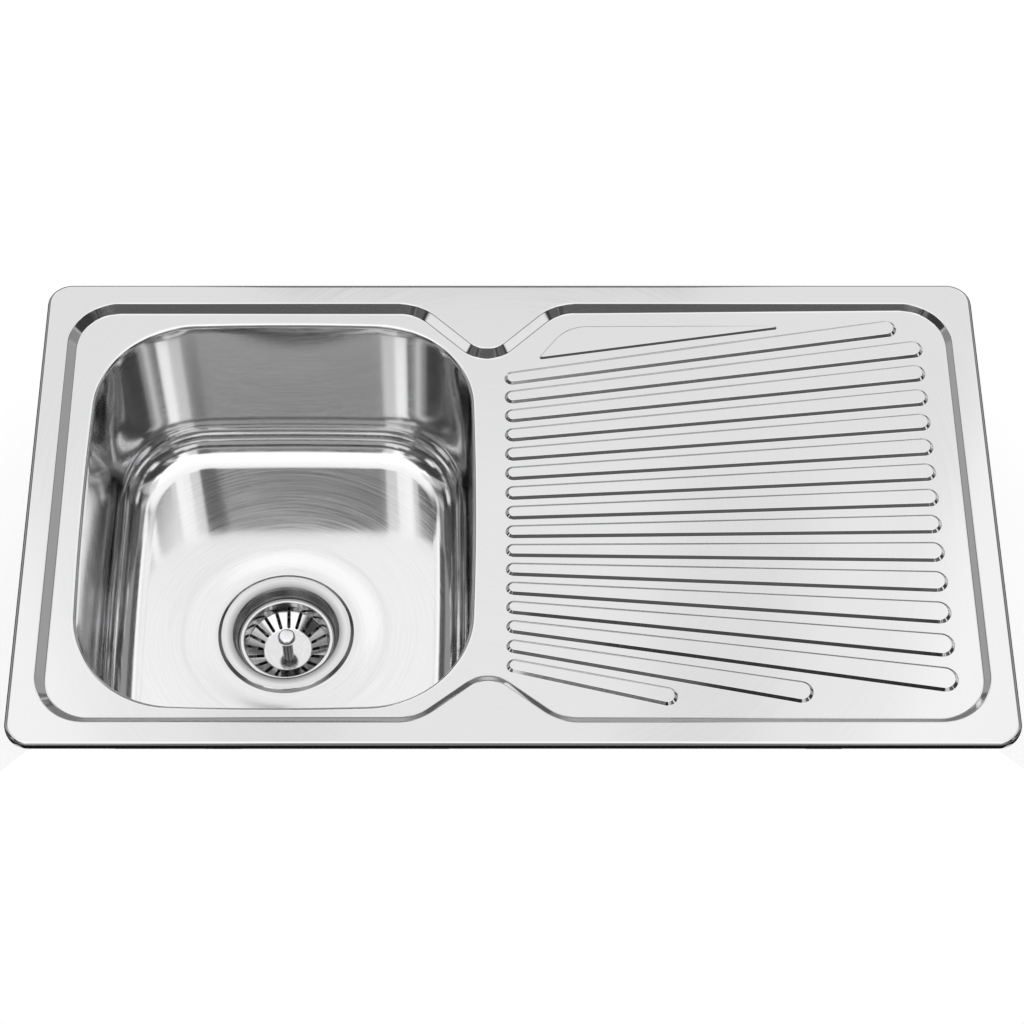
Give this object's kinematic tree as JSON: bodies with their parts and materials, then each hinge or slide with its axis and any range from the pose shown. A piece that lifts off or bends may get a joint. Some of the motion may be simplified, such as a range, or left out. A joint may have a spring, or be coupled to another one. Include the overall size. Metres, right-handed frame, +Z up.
{
  "type": "kitchen sink with drainboard",
  "caption": "Inset stainless kitchen sink: a deep bowl on the left, a fan-ribbed drainboard on the right, a lift-out basket waste, and clips that clamp it in a worktop.",
  "frame": {"origin": "middle of the front edge's seat, on the worktop", "axes": "+X towards the drainboard, +Y towards the back edge, +Z up out of the worktop"},
  "size_m": [0.78, 0.44, 0.2549],
  "materials": {
    "pressed_steel": "satin pressed stainless steel",
    "bowl_steel": "brushed stainless steel",
    "waste_steel": "polished stainless steel",
    "plated_steel": "dull zinc plating",
    "seal_foam": "closed-cell foam",
    "gasket_rubber": "matt moulded rubber",
    "damping_sheet": "matt bitumen sheet",
    "waste_plastic": "moulded polypropylene",
    "insert_brass": "turned"
  },
  "bodies": {
    "sink": {"sink_top": "pressed_steel", "sink_bowl": "bowl_steel", "seal_front": "seal_foam", "seal_back": "seal_foam", "seal_left": "seal_foam", "seal_right": "seal_foam", "rail_front": "plated_steel", "rail_back": "plated_steel", "rail_left": "plated_steel", "rail_right": "plated_steel", "clip_bolts": "plated_steel", "damping_pad": "damping_sheet", "cup_gasket": "gasket_rubber", "under_gasket": "gasket_rubber", "waste_cup": "waste_steel", "waste_body": "waste_plastic", "waste_tail": "waste_plastic", "hub_insert": "insert_brass", "waste_screw": "waste_steel"},
    "basket_lift": {"basket_stopper": "gasket_rubber"},
    "basket_turn": {"basket": "waste_steel", "basket_knob": "waste_steel"},
    "clip_lift_front_left": {"clip_washer_front_left": "plated_steel"},
    "clip_nut_body_front_left": {"clip_nut_front_left": "plated_steel"},
    "clip_claw_body_front_left": {"claw_front_left": "plated_steel"},
    "clip_lift_front_right": {"clip_washer_front_right": "plated_steel"},
    "clip_nut_body_front_right": {"clip_nut_front_right": "plated_steel"},
    "clip_claw_body_front_right": {"claw_front_right": "plated_steel"},
    "clip_lift_back_left": {"clip_washer_back_left": "plated_steel"},
    "clip_nut_body_back_left": {"clip_nut_back_left": "plated_steel"},
    "clip_claw_body_back_left": {"claw_back_left": "plated_steel"},
    "clip_lift_back_right": {"clip_washer_back_right": "plated_steel"},
    "clip_nut_body_back_right": {"clip_nut_back_right": "plated_steel"},
    "clip_claw_body_back_right": {"claw_back_right": "plated_steel"},
    "clip_lift_left": {"clip_washer_left": "plated_steel"},
    "clip_nut_body_left": {"clip_nut_left": "plated_steel"},
    "clip_claw_body_left": {"claw_left": "plated_steel"},
    "clip_lift_right": {"clip_washer_right": "plated_steel"},
    "clip_nut_body_right": {"clip_nut_right": "plated_steel"},
    "clip_claw_body_right": {"claw_right": "plated_steel"}
  },
  "joints": [
    {"name": "basket_lift_out", "type": "slide", "parent": "sink", "child": "basket_lift", "axis": [0, 0, 1], "range_m": [0, 0.25]},
    {"name": "basket_spin", "type": "hinge", "parent": "basket_lift", "child": "basket_turn", "pos_m": [-0.1905, 0.1915, -0.18], "axis": [0, 0, 1], "continuous": true},
    {"name": "clip_rise_front_left", "type": "slide", "parent": "sink", "child": "clip_lift_front_left", "axis": [0, 0, 1], "range_m": [0, 0.016]},
    {"name": "nut_turn_front_left", "type": "hinge", "parent": "clip_lift_front_left", "child": "clip_nut_body_front_left", "pos_m": [-0.235, 0.0155, -0.0545], "axis": [0, 0, 1], "range_deg": [0, 7200]},
    {"name": "claw_swing_front_left", "type": "hinge", "parent": "clip_lift_front_left", "child": "clip_claw_body_front_left", "pos_m": [-0.235, 0.0155, -0.049], "axis": [0, 0, -1], "range_deg": [0, 90]},
    {"name": "clip_rise_front_right", "type": "slide", "parent": "sink", "child": "clip_lift_front_right", "axis": [0, 0, 1], "range_m": [0, 0.016]},
    {"name": "nut_turn_front_right", "type": "hinge", "parent": "clip_lift_front_right", "child": "clip_nut_body_front_right", "pos_m": [0.235, 0.0155, -0.0545], "axis": [0, 0, 1], "range_deg": [0, 7200]},
    {"name": "claw_swing_front_right", "type": "hinge", "parent": "clip_lift_front_right", "child": "clip_claw_body_front_right", "pos_m": [0.235, 0.0155, -0.049], "axis": [0, 0, -1], "range_deg": [0, 90]},
    {"name": "clip_rise_back_left", "type": "slide", "parent": "sink", "child": "clip_lift_back_left", "axis": [0, 0, 1], "range_m": [0, 0.016]},
    {"name": "nut_turn_back_left", "type": "hinge", "parent": "clip_lift_back_left", "child": "clip_nut_body_back_left", "pos_m": [-0.235, 0.4095, -0.0545], "axis": [0, 0, 1], "range_deg": [0, 7200]},
    {"name": "claw_swing_back_left", "type": "hinge", "parent": "clip_lift_back_left", "child": "clip_claw_body_back_left", "pos_m": [-0.235, 0.4095, -0.049], "axis": [0, 0, -1], "range_deg": [0, 90]},
    {"name": "clip_rise_back_right", "type": "slide", "parent": "sink", "child": "clip_lift_back_right", "axis": [0, 0, 1], "range_m": [0, 0.016]},
    {"name": "nut_turn_back_right", "type": "hinge", "parent": "clip_lift_back_right", "child": "clip_nut_body_back_right", "pos_m": [0.235, 0.4095, -0.0545], "axis": [0, 0, 1], "range_deg": [0, 7200]},
    {"name": "claw_swing_back_right", "type": "hinge", "parent": "clip_lift_back_right", "child": "clip_claw_body_back_right", "pos_m": [0.235, 0.4095, -0.049], "axis": [0, 0, -1], "range_deg": [0, 90]},
    {"name": "clip_rise_left", "type": "slide", "parent": "sink", "child": "clip_lift_left", "axis": [0, 0, 1], "range_m": [0, 0.016]},
    {"name": "nut_turn_left", "type": "hinge", "parent": "clip_lift_left", "child": "clip_nut_body_left", "pos_m": [-0.367, 0.2125, -0.0545], "axis": [0, 0, 1], "range_deg": [0, 7200]},
    {"name": "claw_swing_left", "type": "hinge", "parent": "clip_lift_left", "child": "clip_claw_body_left", "pos_m": [-0.367, 0.2125, -0.049], "axis": [0, 0, -1], "range_deg": [0, 90]},
    {"name": "clip_rise_right", "type": "slide", "parent": "sink", "child": "clip_lift_right", "axis": [0, 0, 1], "range_m": [0, 0.016]},
    {"name": "nut_turn_right", "type": "hinge", "parent": "clip_lift_right", "child": "clip_nut_body_right", "pos_m": [0.367, 0.2125, -0.0545], "axis": [0, 0, 1], "range_deg": [0, 7200]},
    {"name": "claw_swing_right", "type": "hinge", "parent": "clip_lift_right", "child": "clip_claw_body_right", "pos_m": [0.367, 0.2125, -0.049], "axis": [0, 0, -1], "range_deg": [0, 90]}
  ],
  "couplings": [
    {"joint": "nut_turn_front_left", "follows": "clip_rise_front_left", "rad_per_m": 7854},
    {"joint": "nut_turn_front_right", "follows": "clip_rise_front_right", "rad_per_m": 7854},
    {"joint": "nut_turn_back_left", "follows": "clip_rise_back_left", "rad_per_m": 7854},
    {"joint": "nut_turn_back_right", "follows": "clip_rise_back_right", "rad_per_m": 7854},
    {"joint": "nut_turn_left", "follows": "clip_rise_left", "rad_per_m": 7854},
    {"joint": "nut_turn_right", "follows": "clip_rise_right", "rad_per_m": 7854}
  ]
}
